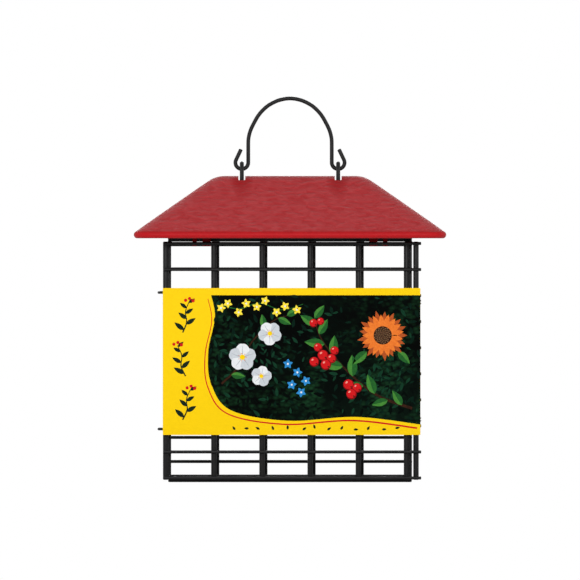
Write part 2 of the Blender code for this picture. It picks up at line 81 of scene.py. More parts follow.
# Door: thick bars with thin wires in front of them
DOOR_BARS = [-0.06555 + PITCH * i for i in range(6)] + [0.06645]
DOOR_BAR_ENDS = (0.0011, 0.1268)
DOOR_Y = -0.04115
DOOR_ROWS = [0.0021 + 0.0137444 * i for i in range(10)]
DOOR_WIRE_ENDS = (-0.0667, 0.0692)
DOOR_WIRE_Y = -0.043175
DOOR_MIDDLE = 0.06395

# Weld beads: how far apart two welded thin wires are, and the beads' half sizes
WELD_STEP = 0.0014
REAR_END_WELD = (0.0011, 0.0010, 0.0005)
POST_END_WELD = (0.0010, 0.0010, 0.0005)
POST_END_SHIFT = 0.0003
REAR_WELD = (0.0010, 0.00075, 0.0010)
SIDE_WELD = (0.00075, 0.0010, 0.0010)
TRAY_WELD = (0.0010, 0.0010, 0.00075)
DOOR_WELD = (0.0012, 0.0008, 0.0010)
DOOR_WELD_Y = DOOR_Y - 0.0013
FOOT_WELD = (0.0009, 0.0006, 0.0008)
FOOT_WELD_SHIFT = 0.0010
FOOT_WELD_Z = 0.1279

# Hinge rings
HINGE_X = -0.06495
HINGE_Y = -0.039325
HINGE_R = 0.0042
HINGE_GAP = 0.06
HINGE_HEIGHTS = (("hinge_ring_lower", 0.02794), ("hinge_ring_upper", 0.09996))
HINGE_STEPS = 64

# Latch wire: a coil at each end and a bar beside the cage
COIL_R = 0.002175
COIL_PITCH = 0.00145
COIL_TURNS = 1.25
COIL_STEPS = 40
COIL_TOP = 0.09596
LATCH_CORNER = (0.06505, -0.0127, 0.09116)
LATCH_BEND = 0.0035
BEND_STEPS = 12

# Eyelets and bail
EYELET_X = 0.0254
EYELET_R = 0.0043
EYELET_FOOT = 0.12715
EYELET_CROWN = 0.16375
CROWN_STEPS = 32
HOOK_R = 0.00338
HOOK_CENTRE = (0.0254, 0.168440)
HOOK_TIP = (0.0258, 0.175500)
HOOK_STEPS = 40
LEG_TOP = 0.1784
LEG_STEPS = 6
# The arch's curve is led by a point of the leg below its top, and runs up to the crown
LEG_LEAD = 0.1740
ARCH = [
    (0.0218, 0.1817), (0.0208, 0.1855), (0.0188, 0.1897), (0.0166, 0.1934), (0.0139, 0.1965),
    (0.0106, 0.1991), (0.0057, 0.20136), (0.0, 0.20228),
]
ARCH_STEPS = 8

# Roof
ROOF_X = 0.0824
ROOF_Y = 0.058
ROOF_TOP = 0.1614
ROOF_SHEET = 0.0008
ROOF_CORNER = 0.0080
HEM_R = 0.0019
HEM_Z = 0.1304
# Degrees from straight up, from the hem's lip round to the slope
HEM_TURN = (255, 22)
RIDGE_X = 0.0344
RIDGE_Y = 0.0008
RIDGE_SOFT = 0.0027
# The round corners shrink towards the ridge and never quite meet
RIDGE_CORNER_SHARE = 0.95
SLOT_SIZE = (0.0036, 0.0200, 0.0200)
SLOT_CORNER = 0.0008
# Steps of the sheet's mesh
HEM_STEPS = 20
CORNER_STEPS = 12
WIDTH_STEPS = 120
DEPTH_STEPS = 84
SLOPE_STEPS = 76
RIDGE_STEPS = 12

# Hammered waves: their cells along X, Y and Z, and their heights
WAVE_CELLS = (0.0065, 0.0036, 0.0019)
WAVE_HEIGHT = 0.00012
SLOW_CELLS = (0.018, 0.012, 0.004)
SLOW_HEIGHT = 0.00006
SLOW_SHIFT = Vector((7, 3, 5))
# The waves begin this far above the hem and end this far below the ridge
WAVES_IN = 0.004
WAVES_OUT = 0.006
# Where the normal's X is over SIDE_NORMAL the waves are halved and the sheet bulges a little,
# and this sets in over SIDE_BLEND below it
SIDE_NORMAL = 0.45
SIDE_BLEND = 0.3
SIDE_BULGE = 0.00009

# Clips
CLIP_SOFT = 0.00012

# Display card
CARD_LEFT = -0.0671
CARD_LOW = 0.0248
CARD_WIDTH = 0.1359
CARD_HEIGHT = 0.0775
CARD_FRONT = -0.045025
CARD_SHEET = 0.0006
CARD_CORNER = 0.0004
CARD_RIM = 0.00008
# The card's rims are its only edges that bend by more than this, in radians
RIM_BEND = 1.2
FILM = 0.000015
FILM_ROOT = 0.00002
MM = 0.001

# Lowest layer of ink of each kind; the background's leaves lie between ground and stems
GROUND_LAYER = 1
STEM_LAYER = 6
LEAF_LAYER = 7
STAR_LAYER = 9
SUNFLOWER_LAYER = 10
BERRY_LAYER = 11
BLOSSOM_LAYER = 12

# Print, in millimetres from the card's lower left corner
FIELD_RIGHT = 135.87
FIELD_TOP = 73.7
FIELD_EDGE = [
    (25.5, FIELD_TOP), (27.5, 62), (24, 44), (25.5, 27),
    (36, 13), (66, 7.5), (102, 9.5), (FIELD_RIGHT, 5.5),
]
# Each patch: its middle and reach along U, its middle and reach along V
LIT_PATCHES = ((50, 20, 42, 15), (113, 19, 33, 15))
# Where the background's leaves may start, along U and V, and how long they are
LEAF_SPANS = ((22, 135), (6, 74))
LEAF_LENGTHS = (2.4, 5.2)
# Each film of leaves: its layer, how many leaves are tried, and its inks from dark to bright
LEAF_FILMS = (
    (2, 1440, ("deep", "deep", "dark")),
    (3, 1200, ("deep", "dark", "mid")),
    (4, 720, ("dark", "mid", "mid")),
)
# Each spot of a berry: radius, steps, flatness, turn, shift (sizes are shares of the berry's
# radius), ink and layer above the berry's first
BERRY_SPOTS = (
    (1.0, 24, 1.0, 0, (0, 0), "red_dark", 0),
    (0.86, 24, 1.0, 0, (-0.06, 0.08), "red", 1),
    (0.24, 14, 0.7, 0.7, (-0.36, 0.42), "blush", 2),
    (0.15, 8, 1.0, 0, (0.45, -0.4), "bark", 2),
)
# Each cluster: its place and its berries, each by its offset and radius
TRIO = [(0, 0, 2.9), (4.5, -1.7, 2.5), (1.5, -4.9, 2.8)]
CLUSTERS = (
    ((98, 26.5), TRIO),
    ((84.5, 42), TRIO + [(6.1, 2.5, 2.3), (-4.6, -3.4, 2.6), (-2.6, 4.2, 2.3)]),
    ((79.5, 59), [(0, 0, 2.2), (3.7, 0.9, 2.0)]),
)
BRANCH = [(131.5, 14), (113, 21), (97, 34), (84, 50), (80, 62)]
TWIG = [(31, 27), (40, 36), (47, 49), (58, 60), (66, 63)]
VINE = [(30, 69), (40, 66.5), (51, 69.5), (63, 66), (74, 69)]
# Each leaf of the twig: the twig's point that it grows from and its turn from the twig there
TWIG_LEAVES = ((6, -0.9), (12, 0.9), (26, 1.0), (33, -0.8), (39, 0.2))
TWIG_LEAF = 7.5
# Each blossom: place, size and turn
BLOSSOMS = (((42, 41), 7.4, 0.3), ((56.5, 53.5), 6.4, 0.9), ((52, 31), 5.6, 0.1))
# The sunflower: place and size. Its leaves: place, angle and length
SUNFLOWER = ((116, 52.5), 13)
SUNFLOWER_LEAVES = (((107.5, 44), -2.4, 10), ((124, 44), -0.8, 9))
GOLDEN_ANGLE = 2.39996
BLUE_STARS = ((71, 33), (75.5, 28.5), (68, 26.5), (73, 22.5), (66, 37.5))
# Each sprig: place, lean and the side its stem bends to
SPRIGS = (((10.5, 54), -0.05, 1), ((12, 31), 0.1, -1), ((10.5, 8), -0.1, 1))
SPRIG_STEM = ((0, 0), (1.8, 5.5), (0.9, 11), (2.6, 16.5))
BUDS = ((0.2, 1.6), (-1.9, 0.7), (2.1, 0.4))

# Paint and paper
ROOF_DULL = (0.386, 0.0102, 0.0137)
ROOF_BRIGHT = (0.438, 0.0122, 0.0157)
# Painted shade around the two slots: a darker red without the painted sheen
ROOF_SLOT_SHADE = (0.330, 0.0070, 0.0095)
# The clips' red is painted shade: a darker copy of the roof's red, for the shadow under the roof
CLIP_SHADED_DULL = (0.150, 0.0020, 0.0030)
CLIP_SHADED_BRIGHT = (0.190, 0.0030, 0.0040)
# Painted sheen: a pale tint mixed into faces that look up, in place of reflected light
PAINTED_SHEEN = (0.80, 0.44, 0.46)
# On the roof the painted sheen sets in between these heights, just above the hem
PAINTED_SHEEN_HEIGHTS = (HEM_Z + 0.0014, HEM_Z + 0.0024)
PAPER_PALE = (0.55, 0.53, 0.48)
PAPER_DULL = (0.47, 0.45, 0.40)

# Studio: each lamp's name, size, place and power, all aimed at the cage
AIM = (0, 0, 0.09)
LAMPS = (
    ("key", (0.9, 0.4), (-0.1, -2.2, 0.74), 43),
    ("left", (0.8, 0.8), (-1.6, 0.3, 0.5), 9),
    ("right", (0.8, 0.8), (1.6, 0.3, 0.5), 9),
    ("rear", (1.0, 0.6), (0, 2.2, 0.7), 25),
)
FILL = 0.16
FLOOR_HALF = 3
FLOOR_DROP = 0.0004
# The floor turns white between these distances from the object's middle
FLOOR_FADE = (0.18, 0.75)
VIEW_WIDTH = 0.3059
VIEW_HEIGHT = 0.10125


class Nodes:
    """A small writer of node trees: each call adds a node and returns its output."""

    def __init__(self, name):
        self.material = bpy.data.materials.new(name)
        self.material.use_nodes = True
        self.tree = self.material.node_tree
        self.shader = self.tree.nodes["Principled BSDF"]

    def feed(self, target, value):
        if isinstance(value, bpy.types.NodeSocket):
            self.tree.links.new(value, target)
        elif isinstance(value, tuple) and target.type == "RGBA":
            target.default_value = (*value, 1)
        else:
            target.default_value = value

    def add(self, kind, inputs=(), **settings):
        node = self.tree.nodes.new(kind)
        for key, value in settings.items():
            setattr(node, key, value)
        for key, value in dict(inputs).items():
            self.feed(node.inputs[key], value)
        return node

    def place(self, stretch=(1, 1, 1)):
        """Coordinates of the piece itself, stretched, so that a pattern moves with it."""
        coords = self.add("ShaderNodeTexCoord").outputs["Object"]
        return self.add("ShaderNodeMapping", {"Vector": coords, "Scale": stretch}).outputs[0]

    def noise(self, vector, scale, detail=2.0, roughness=0.5, distortion=0.0):
        settings = {"Vector": vector, "Scale": scale, "Detail": detail}
        settings.update({"Roughness": roughness, "Distortion": distortion})
        return self.add("ShaderNodeTexNoise", settings).outputs[0]

    def cells(self, vector, scale):
        """The distance from the middle of the nearest cell."""
        texture = self.add("ShaderNodeTexVoronoi", {"Vector": vector, "Scale": scale})
        return texture.outputs["Distance"]

    def spread(self, value, low, high, to_low=0.0, to_high=1.0):
        ends = {"From Min": low, "From Max": high, "To Min": to_low, "To Max": to_high}
        return self.add("ShaderNodeMapRange", {"Value": value, **ends}).outputs[0]

    def vary(self, pattern, to_low=0.0, to_high=1.0):
        """A noise, most of which lies between 0.3 and 0.7, spread over another range."""
        return self.spread(pattern, 0.3, 0.7, to_low, to_high)

    def blend(self, operation, a, b):
        return self.add("ShaderNodeMath", {0: a, 1: b}, operation=operation).outputs[0]

    def mix(self, factor, a, b):
        """Colour a where the factor is 0 and b where it is 1."""
        return self.add("ShaderNodeMix", {0: factor, 6: a, 7: b}, data_type="RGBA").outputs[2]

    def bump(self, height, distance, strength, under=None):
        inputs = {"Height": height, "Distance": distance, "Strength": strength}
        if under is not None:
            inputs["Normal"] = under
        return self.add("ShaderNodeBump", inputs).outputs[0]

    def shade(self, inputs):
        for key, value in inputs.items():
            self.feed(self.shader.inputs[key], value)
        return self.material


def coated_wire():
    """Satin black powder coat: faint mottling, fine orange peel and slightly polished spots."""
    n = Nodes("black_powder_coat")
    where = n.place()
    mottle = n.spread(n.noise(where, 420, detail=3, roughness=0.55), 0.35, 0.65)
    polish = n.noise(where, 150, roughness=0.6)
    return n.shade({
        "Base Color": n.mix(mottle, (0.0080, 0.0080, 0.0082), (0.0115, 0.0113, 0.0116)),
        "Roughness": n.vary(polish, 0.46, 0.56),
        "Specular IOR Level": 0.13,
        "Normal": n.bump(n.noise(where, 1700), distance=0.00001, strength=0.2),
    })


def slot_shade_mask(n, where):
    """0 beside the two slots, where the roof gets painted shade, and 1 elsewhere."""
    reach_x, reach_y, rim = 0.0055, 0.0220, 1.7
    outwards = n.blend("SUBTRACT", n.blend("ABSOLUTE", where[0], 0.0), EYELET_X)
    across = n.blend("DIVIDE", outwards, reach_x)
    along = n.blend("DIVIDE", where[1], reach_y)
    away = n.blend("ADD", n.blend("MULTIPLY", across, across), n.blend("MULTIPLY", along, along))
    return n.spread(away, 0.0, rim)


def red_paint(name, dull, bright, on_roof=False):
    """Satin red paint, hammered along the sheet, with a painted sheen on faces that look up."""
    n = Nodes(name)
    wave = n.noise(n.place((1, 1.3, 2.7)), 190, detail=1, distortion=0.8)
    fine = n.noise(n.place((1, 1, 3)), 600)
    tone = n.noise(n.place(), 60, detail=3, roughness=0.6)
    shade = n.blend("ADD", n.vary(wave, 0, 0.75), n.vary(tone, 0, 0.25))
    facing = n.add("ShaderNodeSeparateXYZ", {0: n.add("ShaderNodeTexCoord").outputs["Normal"]})
    sideways = n.blend("ABSOLUTE", facing.outputs[0], 0.0)
    upward = n.spread(facing.outputs[2], 0.3, 0.8)
    # The waves are shallow on the left and right slopes and on the hem
    calm = n.spread(sideways, 0.25, 0.5, 1.0, 0.3)
    depth = n.blend("MULTIPLY", calm, n.spread(upward, 0, 1, 0.25, 1.0))
    # Painted sheen: faces that look up are mixed towards a pale tint, by an amount that follows
    # the waves
    painted_sheen = n.blend("MULTIPLY", upward, n.vary(wave, 0.034, 0.088))
    if on_roof:
        where = n.add("ShaderNodeSeparateXYZ", {0: n.place()}).outputs
        painted_sheen = n.blend("MULTIPLY", painted_sheen, n.spread(where[2], *PAINTED_SHEEN_HEIGHTS))
    colour = n.mix(painted_sheen, n.mix(shade, dull, bright), PAINTED_SHEEN)
    # Painted shade around the slots: the colour turns to a darker red there
    if on_roof:
        colour = n.mix(slot_shade_mask(n, where), ROOF_SLOT_SHADE, colour)
    rough = n.bump(fine, distance=0.00003, strength=0.5)
    return n.shade({
        "Base Color": colour,
        "Roughness": n.vary(wave, 0.56, 0.66),
        "Specular IOR Level": 0.0,
        "Coat Weight": 0.06,
        "Coat Roughness": 0.4,
        "Sheen Weight": 0.12,
        "Sheen Roughness": 0.4,
        "Normal": n.bump(wave, distance=0.0008, strength=depth, under=rough),
    })


def fibres(n, where):
    """The grain of the board that is felt through the ink."""
    return n.noise(where, 3200, roughness=0.6)


def printed(name, colour, other=None, scale=900.0, roughness=0.42):
    """Ink on coated board: two near tones in fine grain, with the fibres just felt."""
    n = Nodes(name)
    where = n.place()
    grain = n.vary(n.noise(where, scale, detail=3, roughness=0.6))
    fibre = fibres(n, where)
    other = other or tuple(c * 0.93 for c in colour)
    return n.shade({
        "Base Color": n.mix(grain, other, colour),
        "Roughness": n.vary(fibre, roughness - 0.04, roughness + 0.05),
        "Specular IOR Level": 0.01,
        "Normal": n.bump(fibre, distance=0.00001, strength=0.3),
    })


def foliage_ink():
    """Night green ink with soft lit patches, like leaves out of focus."""
    n = Nodes("ink_foliage")
    where = n.place()
    cloud = n.noise(where, 34, detail=4, roughness=0.6, distortion=0.5)
    patch = n.spread(cloud, 0.46, 0.72)
    leaf_edge = n.spread(n.cells(n.place((1, 1, 1.6)), 330), 0.05, 0.75)
    lit = n.blend("MULTIPLY", patch, n.blend("SUBTRACT", 1.0, leaf_edge))
    depth = n.spread(n.noise(where, 16), 0.4, 0.65)
    deep = n.mix(depth, (0.0002, 0.0006, 0.0004), (0.0012, 0.0050, 0.0028))
    return n.shade({
        "Base Color": n.mix(lit, deep, (0.010, 0.055, 0.020)),
        "Roughness": 0.42,
        "Specular IOR Level": 0.01,
        "Normal": n.bump(fibres(n, where), distance=0.00001, strength=0.3),
    })


def mesh_of(name, bm):
    """The bmesh as a mesh. The bmesh is freed."""
    mesh = bpy.data.meshes.new(name)
    bm.to_mesh(mesh)
    bm.free()
    return mesh


def linked(name, data):
    """A new object with the data, in the scene."""
    item = bpy.data.objects.new(name, data)
    bpy.context.scene.collection.objects.link(item)
    return item


def piece(name, bm, materials, body, nodes=(), sharp=SHARP):
    """An object from a bmesh, shaded, riding on its body and standing for its nodes."""
    bmesh.ops.recalc_face_normals(bm, faces=bm.faces)
    mesh = mesh_of(name, bm)
    item = linked(name, mesh)
    for material in materials:
        mesh.materials.append(material)
    mesh.shade_smooth()
    mesh.set_sharp_from_angle(angle=math.radians(sharp))
    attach(item, body)
    if nodes:
        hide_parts(*nodes)
    return item


def wire_piece(name, bm, black, body, node):
    """A piece of coated wire that stands for one node."""
    piece(name, bm, [black], body, [node])


def bridge(bm, rings):
    """Quads between rings of vertices."""
    for low, high in zip(rings, rings[1:]):
        for i in range(len(low)):
            j = (i + 1) % len(low)
            bm.faces.new((low[i], low[j], high[j], high[i]))


def add_tube(bm, points, radius):
    """A wire along the points, its cut ends softened by the coating."""
    points = [Vector(p) for p in points]
    last = len(points) - 1
    ways = []
    for i in range(last + 1):
        ways.append((points[min(i + 1, last)] - points[max(i - 1, 0)]).normalized())
    turns = [math.tau * k / SIDES[radius] for k in range(SIDES[radius])]
    side = ways[0].orthogonal().normalized()
    soft = radius * END_SOFT
    quarter = (0, 0.5, 1.0, 1.5708)
    lip = [(soft * (1 - math.cos(t)), radius - soft * (1 - math.sin(t))) for t in quarter]
    rings = []
    for i, (point, way) in enumerate(zip(points, ways)):
        side = (side - way * side.dot(way)).normalized()
        up = way.cross(side)
        stations = [(0, radius)]
        if i == 0:
            stations = lip
        elif i == last:
            stations = [(-along, width) for along, width in reversed(lip)]
        for along, width in stations:
            centre = point + way * along
            ring = [centre + (side * math.cos(a) + up * math.sin(a)) * width for a in turns]
            rings.append([bm.verts.new(p) for p in ring])
    bridge(bm, rings)
    bm.faces.new(rings[0])
    bm.faces.new(rings[-1])


def add_weld(bm, centre, size):
    """A small bead of fused wire and coating where two wires cross."""
    where = Matrix.Translation(centre) @ Matrix.Diagonal((*size, 1))
    bmesh.ops.create_uvsphere(bm, u_segments=14, v_segments=8, radius=1, matrix=where)


def arc(centre, radius, start, end, steps):
    """Points of an arc, by the angle from the first axis of its plane."""
    angles = (start + (end - start) * i / steps for i in range(steps + 1))
    return [(centre[0] + radius * math.cos(a), centre[1] + radius * math.sin(a)) for a in angles]


def smooth_line(points, steps):
    """A smooth line through the points, with so many steps between each two."""
    line = []
    last = len(points) - 1
    for i in range(last):
        p0, p1, p2, p3 = (points[min(max(i + k, 0), last)] for k in (-1, 0, 1, 2))
        for j in range(steps):
            t = j / steps
            line.append(tuple(
                0.5 * (
                    2 * b + (c - a) * t
                    + (2 * a - 5 * b + 4 * c - d) * t**2
                    + (3 * b - a - 3 * c + d) * t**3
                )
                for a, b, c, d in zip(p0, p1, p2, p3)
            ))
    return line + [tuple(points[-1])]


def make_rails(black):
    for name, y, z in (
        ("front_bottom_rail", -CAGE_Y, RAIL_Z[0]),
        ("rear_bottom_rail", CAGE_Y, RAIL_Z[0]),
        ("front_top_rail", -CAGE_Y, RAIL_Z[1]),
        ("rear_top_rail", CAGE_Y, RAIL_Z[1]),
    ):
        bm = bmesh.new()
        add_tube(bm, [(-RAIL_X, y, z), (RAIL_X, y, z)], THICK)
        wire_piece(name + "_wire", bm, black, "cage", name)


def add_upright(bm, x, y, shift, weld):
    """A thin wire from the bottom rail to the top one, with a bead at each end."""
    add_tube(bm, [(x, y, RAIL_Z[0] + THIN), (x, y, RAIL_Z[1] - THIN)], THIN)
    for z, inward in zip(RAIL_Z, (THICK, -THICK)):
        add_weld(bm, (x + shift, y, z + inward), weld)


def make_rear_panel(black):
    bm = bmesh.new()
    cross_y = CAGE_Y + WELD_STEP
    for x in COLUMNS:
        add_upright(bm, x, CAGE_Y, 0, REAR_END_WELD)
        for z in REAR_ROWS:
            add_weld(bm, (x, CAGE_Y + WELD_STEP / 2, z), REAR_WELD)
    for z in REAR_ROWS:
        add_tube(bm, [(-RAIL_X, cross_y, z), (RAIL_X, cross_y, z)], THIN)
    wire_piece("rear_mesh", bm, black, "cage", "rear_panel")


def make_side_panel(side, name, black):
    """Corner post and two uprights, tied by cross wires on the inner side."""
    bm = bmesh.new()
    x = side * CAGE_X
    cross_x = x - side * WELD_STEP
    low, high = SIDE_COLUMN_ENDS
    add_upright(bm, x, -CAGE_Y, -side * POST_END_SHIFT, POST_END_WELD)
    for y in SIDE_COLUMNS:
        add_tube(bm, [(x, y, low), (x, y, high)], THIN)
    for z in DOOR_ROWS[1:]:
        add_tube(bm, [(cross_x, -CAGE_Y - THIN, z), (cross_x, SIDE_WIRE_BACK, z)], THIN)
        for y in (-CAGE_Y, *SIDE_COLUMNS, CAGE_Y):
            add_weld(bm, (x - side * WELD_STEP / 2, y, z), SIDE_WELD)
    wire_piece(name.replace("panel", "mesh"), bm, black, "cage", name)


def make_tray(name, heights, black):
    """The mesh of the floor or of the top, between the rails."""
    bm = bmesh.new()
    cross_z, depth_z = heights
    reach = CAGE_Y - THICK
    for x in COLUMNS:
        add_tube(bm, [(x, -reach, depth_z), (x, reach, depth_z)], THIN)
        for y in TRAY_ROWS:
            add_weld(bm, (x, y, (cross_z + depth_z) / 2), TRAY_WELD)
    for y in TRAY_ROWS:
        add_tube(bm, [(-RAIL_X, y, cross_z), (RAIL_X, y, cross_z)], THIN)
    wire_piece(name.replace("panel", "mesh"), bm, black, "cage", name)


def make_door(black):
    bm = bmesh.new()
    low, high = DOOR_BAR_ENDS
    for x in DOOR_BARS:
        add_tube(bm, [(x, DOOR_Y, low), (x, DOOR_Y, high)], THICK)
        for z in DOOR_ROWS:
            add_weld(bm, (x, DOOR_WELD_Y, z), DOOR_WELD)
    left, right = DOOR_WIRE_ENDS
    for z in DOOR_ROWS:
        add_tube(bm, [(left, DOOR_WIRE_Y, z), (right, DOOR_WIRE_Y, z)], THIN)
    wire_piece("door_mesh", bm, black, "door", "door_panel")


def make_hinge_rings(black):
    """Loose rings of bent wire, their cut ends almost meeting inside the cage."""
    for name, z in HINGE_HEIGHTS:
        bm = bmesh.new()
        turn = arc((HINGE_X, HINGE_Y), HINGE_R, HINGE_GAP, math.tau - HINGE_GAP, HINGE_STEPS)
        add_tube(bm, [(x, y, z) for x, y in turn], RING)
        wire_piece(name + "_wire", bm, black, "door", name)


def latch_points():
    """The latch wire from its free upper end, round the edge bar, to its bar's upper bend."""
    points = []
    for i in range(COIL_STEPS + 1):
        angle = math.tau * COIL_TURNS * (i / COIL_STEPS - 1)
        x = DOOR_BARS[-1] + COIL_R * math.cos(angle)
        y = DOOR_Y + COIL_R * math.sin(angle)
        points.append(Vector((x, y, COIL_TOP - COIL_PITCH * COIL_TURNS * i / COIL_STEPS)))
    corner = Vector(LATCH_CORNER)
    start = corner - (corner - points[-1]).normalized() * LATCH_BEND
    end = corner - Vector((0, 0, LATCH_BEND))
    for i in range(BEND_STEPS + 1):
        t = i / BEND_STEPS
        points.append(start * (1 - t) ** 2 + corner * 2 * t * (1 - t) + end * t**2)
    return points


def make_latch(black):
    bm = bmesh.new()
    upper = latch_points()
    lower = [Vector((p.x, p.y, 2 * DOOR_MIDDLE - p.z)) for p in reversed(upper)]
    add_tube(bm, upper + lower, LATCH)
    wire_piece("latch_bent_wire", bm, black, "latch", "latch_wire")


def make_eyelets(black):
    for name, x in (("eyelet_left", -EYELET_X), ("eyelet_right", EYELET_X)):
        bm = bmesh.new()
        top = [(x, y, z) for y, z in arc((0, EYELET_CROWN), EYELET_R, 0, math.pi, CROWN_STEPS)]
        feet = [(x, EYELET_R, EYELET_FOOT), (x, -EYELET_R, EYELET_FOOT)]
        add_tube(bm, feet[:1] + top + feet[1:], EYELET)
        for y in (-EYELET_R - FOOT_WELD_SHIFT, EYELET_R + FOOT_WELD_SHIFT):
            add_weld(bm, (x, y, FOOT_WELD_Z), FOOT_WELD)
        wire_piece(name + "_wire", bm, black, "cage", name)


def bail_points():
    """The bail from its tip to the crown of its arch, at +X, in X and Z."""
    centre_x, centre_z = HOOK_CENTRE
    out, rise = HOOK_TIP[0] - centre_x, HOOK_TIP[1] - centre_z
    lean = math.atan2(rise, out) - math.acos(HOOK_R / math.hypot(out, rise))
    points = [HOOK_TIP] + arc(HOOK_CENTRE, HOOK_R, lean, -math.pi, HOOK_STEPS)
    leg_x = centre_x - HOOK_R
    leg = LEG_TOP - centre_z
    points += [(leg_x, centre_z + leg * i / LEG_STEPS) for i in range(1, LEG_STEPS)]
    beyond_crown = (-ARCH[-2][0], ARCH[-2][1])
    bends = [(leg_x, LEG_LEAD), (leg_x, LEG_TOP)] + ARCH + [beyond_crown]
    return points + smooth_line(bends, ARCH_STEPS)[ARCH_STEPS:-ARCH_STEPS]


def make_bail(black):
    bm = bmesh.new()
    half = bail_points()
    whole = [(-x, z) for x, z in half[:-1]] + half[::-1]
    add_tube(bm, [(x, 0, z) for x, z in whole], BAIL)
    wire_piece("bail_wire", bm, black, "bail", "hanging_bail")


def roof_ring(half_x, half_y, corner, z):
    """A rectangle with round corners, its straight sides cut into even steps."""
    corners = []
    for quarter, (sx, sy) in enumerate(((1, 1), (-1, 1), (-1, -1), (1, -1))):
        centre = (sx * (half_x - corner), sy * (half_y - corner))
        first = quarter * math.pi / 2
        corners.append(arc(centre, corner, first, first + math.pi / 2, CORNER_STEPS))
    points = []
    for quarter, turn in enumerate(corners):
        points += turn
        (ax, ay), (bx, by) = turn[-1], corners[(quarter + 1) % 4][0]
        steps = (WIDTH_STEPS, DEPTH_STEPS)[quarter % 2]
        for i in range(1, steps):
            points.append((ax + (bx - ax) * i / steps, ay + (by - ay) * i / steps))
    return [Vector((x, y, z)) for x, y in points]


def hem_rings():
    """The rolled hem, from its lip under the roof out and up to the slope."""
    start, end = (math.radians(a) for a in HEM_TURN)
    rings = []
    for i in range(HEM_STEPS + 1):
        turn = start + (end - start) * i / HEM_STEPS
        out = HEM_R * math.sin(turn)
        half_x, half_y = ROOF_X - HEM_R + out, ROOF_Y - HEM_R + out
        rings.append(roof_ring(half_x, half_y, ROOF_CORNER + out, HEM_Z + HEM_R * math.cos(turn)))
    return rings, HEM_R * (1 - math.sin(end))


def shoulder_rings(rise, inset):
    """The softened ridge, which the slopes run into without a kink."""
    slopes = []
    for reach, flat in ((ROOF_X, RIDGE_X), (ROOF_Y, RIDGE_Y)):
        run = reach - inset - flat
        slopes.append(math.atan2(rise, run) + math.asin(RIDGE_SOFT / math.hypot(run, rise)))
    rings = []
    for i in range(RIDGE_STEPS + 1):
        left = 1 - i / RIDGE_STEPS
        halves = []
        for flat, slope in zip((RIDGE_X, RIDGE_Y), slopes):
            halves.append(flat + RIDGE_SOFT / (1 - math.cos(slope)) * math.sin(slope * left))
        z = ROOF_TOP - RIDGE_SOFT * (1 - math.cos(slopes[0] * left)) / (1 - math.cos(slopes[0]))
        corner = min(ROOF_CORNER, halves[1] * RIDGE_CORNER_SHARE)
        rings.append(roof_ring(*halves, corner, z))
    return rings


def roof_rings():
    """Rolled hem, four faces and softened ridge, as rings from the hem's lip upwards."""
    rings, inset = hem_rings()
    hem_top = rings[-1]
    shoulder = shoulder_rings(ROOF_TOP - hem_top[0].z, inset)
    for i in range(1, SLOPE_STEPS):
        rings.append([a.lerp(b, i / SLOPE_STEPS) for a, b in zip(hem_top, shoulder[0])])
    return rings + shoulder


def share(value):
    """The value, held between 0 and 1."""
    return min(max(value, 0), 1)


def hammer(bm):
    """Press shallow waves, drawn out along the sheet, into the roof's faces."""
    bm.normal_update()
    moves = []
    for vert in bm.verts:
        p = vert.co
        low = share((p.z - HEM_Z - HEM_R) / WAVES_IN)
        high = share((ROOF_TOP - p.z) / WAVES_OUT)
        plain = share((SIDE_NORMAL - abs(vert.normal.x)) / SIDE_BLEND)
        wave = noise.noise(Vector([at / cell for at, cell in zip(p, WAVE_CELLS)]))
        slow = noise.noise(Vector([at / cell for at, cell in zip(p, SLOW_CELLS)]) + SLOW_SHIFT)
        press = wave * WAVE_HEIGHT + slow * SLOW_HEIGHT
        height = press * plain + (press / 2 + SIDE_BULGE) * (1 - plain)
        moves.append(vert.normal * height * low * high)
    for vert, move in zip(bm.verts, moves):
        vert.co += move


def apply_modifiers(item):
    """Put the result of the piece's modifiers into its mesh."""
    bpy.context.view_layer.update()
    seen = item.evaluated_get(bpy.context.evaluated_depsgraph_get())
    mesh = bpy.data.meshes.new_from_object(seen)
    item.modifiers.clear()
    item.data = mesh
    mesh.shade_smooth()
    mesh.set_sharp_from_angle(angle=math.radians(SHARP_ROOF))


def slot_cutter(x):
    """A slot across the ridge with rounded ends."""
    bm = bmesh.new()
    bmesh.ops.create_cube(bm, size=1)
    bmesh.ops.scale(bm, vec=SLOT_SIZE, verts=bm.verts)
    uprights = [e for e in bm.edges if abs(e.verts[0].co.z - e.verts[1].co.z) > SLOT_SIZE[2] / 2]
    bmesh.ops.bevel(bm, geom=uprights, offset=SLOT_CORNER, segments=6, profile=0.5, affect="EDGES")
    bmesh.ops.translate(bm, vec=(x, 0, ROOF_TOP), verts=bm.verts)
    return linked("slot", mesh_of("slot", bm))


def make_roof(red):
    bm = bmesh.new()
    rings = [[bm.verts.new(p) for p in ring] for ring in roof_rings()]
    bridge(bm, rings)
    bm.faces.new(rings[-1])
    bmesh.ops.recalc_face_normals(bm, faces=bm.faces)
    hammer(bm)
    roof = piece("roof_sheet", bm, [red], "cage", ["roof_shell"])
    sheet = roof.modifiers.new("sheet", "SOLIDIFY")
    sheet.thickness = ROOF_SHEET
    sheet.offset = -1
    cutters = [slot_cutter(x) for x in (-EYELET_X, EYELET_X)]
    for cutter in cutters:
        cut = roof.modifiers.new("slot", "BOOLEAN")
        cut.operation = "DIFFERENCE"
        cut.solver = "EXACT"
        cut.object = cutter
    apply_modifiers(roof)
    for cutter in cutters:
        bpy.data.objects.remove(cutter, do_unlink=True)


def dress_clips(red):
    """The four clips keep their CAD solids, with softened edges and a deeper red that is painted
    shade under the roof.
    """
    for name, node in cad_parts.items():
        if name.startswith("roof_clip"):
            for holder in node.material_slots:
                holder.material = red
            soft = node.modifiers.new("soft_edges", "BEVEL")
            soft.width = CLIP_SOFT
            soft.segments = 2
            soft.limit_method = "ANGLE"


